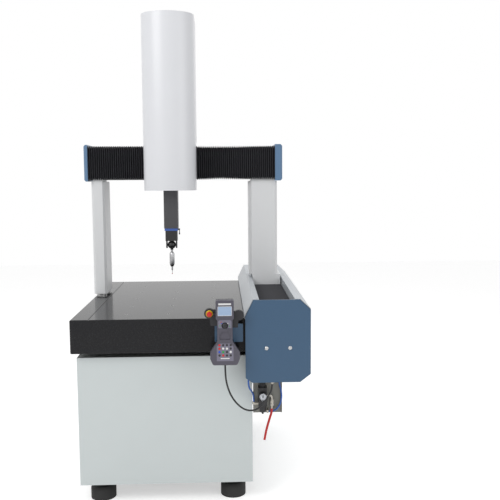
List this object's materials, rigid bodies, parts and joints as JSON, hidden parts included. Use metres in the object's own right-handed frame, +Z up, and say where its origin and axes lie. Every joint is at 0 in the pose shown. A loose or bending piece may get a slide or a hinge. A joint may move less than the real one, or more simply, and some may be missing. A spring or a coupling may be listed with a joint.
{
  "type": "coordinate measuring machine",
  "caption": "Moving-bridge coordinate measuring machine: granite table on an enclosed stand, covered side guide, travelling Z column with tilting probe head, hanging control pendant.",
  "frame": {"origin": "on the floor, at the middle of the machine's length and width", "axes": "+Z up, +X to the machine's right (the side with the covered guide), +Y to the rear, away from the operator"},
  "size_m": [1.132, 1.4134, 2.355],
  "materials": {
    "frame_paint": "satin",
    "panel_paint": "satin powder coat",
    "foot_rubber": "matt",
    "steel": "machined",
    "granite": "lapped",
    "insert_steel": "machined",
    "anodised": "anodised",
    "cover_paint": "satin powder coat",
    "blue_paint": "satin powder coat",
    "bellows": "coated fabric",
    "zinc_panel": "zinc plated",
    "black_plastic": "moulded",
    "clear": "clear",
    "fitting_metal": "plated",
    "red_rubber": "smooth",
    "blue_tube": "smooth tube",
    "cable_black": "matt",
    "needle_black": "matt",
    "pendant_grey": "fine texture",
    "pendant_black": "fine texture",
    "lcd": "display window",
    "membrane": "printed foil",
    "yellow": "gloss",
    "red": "gloss",
    "leg_paint": "satin powder coat",
    "cap_blue": "satin powder coat",
    "black_metal": "matt",
    "white_paint": "satin powder coat",
    "ram_grey": "hard anodised",
    "blue_ring": "satin",
    "head_black": "satin",
    "probe_metal": "turned"
  },
  "bodies": {
    "base": {"stand_frame": "frame_paint", "skirt_panels": "panel_paint", "levelling_feet": "foot_rubber", "table_supports": "steel", "granite_table": "granite", "table_inserts": "insert_steel", "y_guide_beam": "anodised", "y_drive_bar": "steel", "cover_left": "cover_paint", "cover_right": "cover_paint", "end_plate_front": "blue_paint", "end_plate_rear": "blue_paint", "cover_screws": "steel", "y_bellows_front": "bellows", "y_bellows_rear": "bellows", "air_panel": "zinc_panel", "air_regulator": "black_plastic", "filter_bowl": "black_plastic", "pressure_gauge": "black_plastic", "gauge_lens": "clear", "hose_fittings": "fitting_metal", "red_hose": "red_rubber", "blue_hose_left": "blue_tube", "blue_hose_right": "blue_tube", "pendant_bracket": "blue_paint", "pendant_cable": "cable_black"},
    "air_knob": {"regulator_knob": "black_plastic"},
    "needle": {"gauge_needle": "needle_black"},
    "pendant": {"pendant_front": "pendant_grey", "pendant_back": "pendant_black", "pendant_screen": "lcd", "pendant_keypad": "membrane", "estop_collar": "yellow"},
    "gimbal": {"joystick_gimbal": "steel"},
    "stick": {"joystick": "pendant_black"},
    "estop": {"estop_button": "red"},
    "dial": {"speed_dial": "pendant_black"},
    "bridge": {"left_leg": "leg_paint", "right_leg": "leg_paint", "bridge_saddle": "anodised", "bridge_air_pads": "steel", "x_beam": "anodised", "cap_left": "cap_blue", "cap_right": "cap_blue", "x_bellows_left": "bellows", "x_bellows_right": "bellows", "y_motor": "black_metal"},
    "y_wheel": {"y_roller": "steel"},
    "carriage": {"x_carriage": "anodised", "z_cover_front": "white_paint", "z_cover_back": "white_paint", "x_motor": "black_metal", "counterbalance_cylinder": "anodised"},
    "x_wheel": {"x_roller": "steel"},
    "ram": {"ram": "ram_grey", "ram_ring": "blue_ring"},
    "head": {"head_body": "head_black"},
    "knuckle": {"head_knuckle": "head_black", "probe": "probe_metal"},
    "tip": {"stylus": "steel"}
  },
  "joints": [
    {"name": "bridge_y", "type": "slide", "parent": "base", "child": "bridge", "axis": [0, 1, 0], "range_m": [-0.45, 0.15], "deforming": ["y_bellows_front", "y_bellows_rear"]},
    {"name": "carriage_x", "type": "slide", "parent": "bridge", "child": "carriage", "axis": [1, 0, 0], "range_m": [-0.27, 0.33], "deforming": ["x_bellows_left", "x_bellows_right"]},
    {"name": "ram_z", "type": "slide", "parent": "carriage", "child": "ram", "axis": [0, 0, 1], "range_m": [-0.12, 0.19]},
    {"name": "head_rotate", "type": "hinge", "parent": "ram", "child": "head", "pos_m": [-0.1, 0.02, 1.22], "axis": [0, 0, 1], "range_deg": [-180, 180]},
    {"name": "head_tilt", "type": "hinge", "parent": "head", "child": "knuckle", "pos_m": [-0.1, 0.02, 1.175], "axis": [-1, 0, 0], "range_deg": [0, 105]},
    {"name": "stylus_deflect", "type": "hinge", "parent": "knuckle", "child": "tip", "pos_m": [-0.1, 0.02, 1.063], "axis": [1, 0, 0], "range_deg": [-10, 10], "stiffness_Nm_per_rad": 0.1},
    {"name": "y_roller_turn", "type": "hinge", "parent": "bridge", "child": "y_wheel", "pos_m": [0.53295, 0.2005, 0.82], "axis": [0, 0, 1], "range_deg": [-720, 2150]},
    {"name": "x_roller_turn", "type": "hinge", "parent": "carriage", "child": "x_wheel", "pos_m": [-0.1, 0.183, 1.69605], "axis": [0, 1, 0], "range_deg": [-1290, 1580]},
    {"name": "pendant_lift", "type": "slide", "parent": "base", "child": "pendant", "axis": [0, 0, 1], "range_m": [0, 0.025]},
    {"name": "joystick_updown", "type": "hinge", "parent": "pendant", "child": "gimbal", "pos_m": [0.176, -0.664, 0.877], "axis": [1, 0, 0], "range_deg": [-20, 20], "stiffness_Nm_per_rad": 0.3},
    {"name": "joystick_sideways", "type": "hinge", "parent": "gimbal", "child": "stick", "pos_m": [0.176, -0.664, 0.877], "axis": [0, 0, 1], "range_deg": [-20, 20], "stiffness_Nm_per_rad": 0.3},
    {"name": "estop_press", "type": "slide", "parent": "pendant", "child": "estop", "axis": [0, 1, 0], "range_m": [0, 0.004], "stiffness_N_per_m": 600},
    {"name": "speed_dial_turn", "type": "hinge", "parent": "pendant", "child": "dial", "pos_m": [0.1295, -0.655, 0.927], "axis": [0, 1, 0], "range_deg": [-135, 135]},
    {"name": "air_knob_turn", "type": "hinge", "parent": "base", "child": "air_knob", "pos_m": [0.349, -0.536, 0.57], "axis": [0, 0, 1], "range_deg": [-360, 360]},
    {"name": "needle_turn", "type": "hinge", "parent": "base", "child": "needle", "pos_m": [0.349, -0.57, 0.519], "axis": [0, 1, 0], "range_deg": [-90, 90]}
  ],
  "couplings": [
    {"joint": "y_roller_turn", "follows": "bridge_y", "rad_per_m": -83.333},
    {"joint": "x_roller_turn", "follows": "carriage_x", "rad_per_m": 83.333},
    {"joint": "needle_turn", "follows": "air_knob_turn", "ratio": -0.25}
  ]
}
